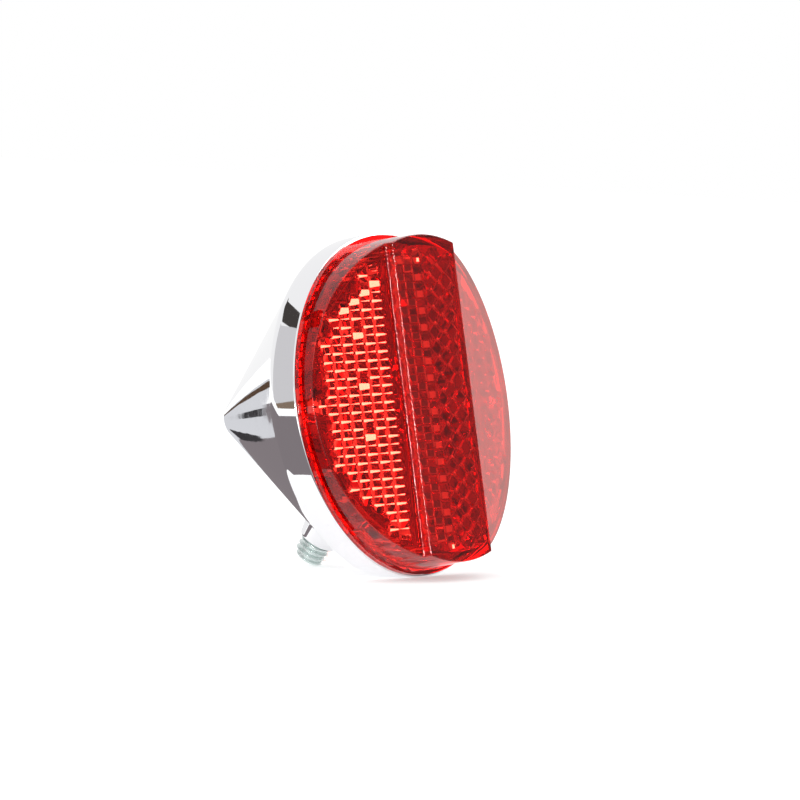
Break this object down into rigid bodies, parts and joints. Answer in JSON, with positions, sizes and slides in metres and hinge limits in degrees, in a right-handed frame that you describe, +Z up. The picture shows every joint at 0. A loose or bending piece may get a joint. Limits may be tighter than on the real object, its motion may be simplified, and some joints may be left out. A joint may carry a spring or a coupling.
{
  "type": "bicycle reflector",
  "caption": "Round red rear bicycle reflector: a prism lens with a raised middle band on a chromed conical housing, with a threaded stud under it.",
  "frame": {"origin": "on the bolt's axis, where its threaded end leaves the end of the boss", "axes": "the lens faces -Y, +Z is up as it is mounted on a bicycle, and +X is to the right of someone who faces the lens"},
  "size_m": [0.0608, 0.0465, 0.0608],
  "materials": {
    "red_acrylic": "clear, polished",
    "chrome_plate": "bright plated",
    "zinc_plated_steel": "zinc plated"
  },
  "bodies": {
    "root": {"lens": "red_acrylic", "housing": "chrome_plate", "bolt": "zinc_plated_steel"}
  },
  "joints": []
}
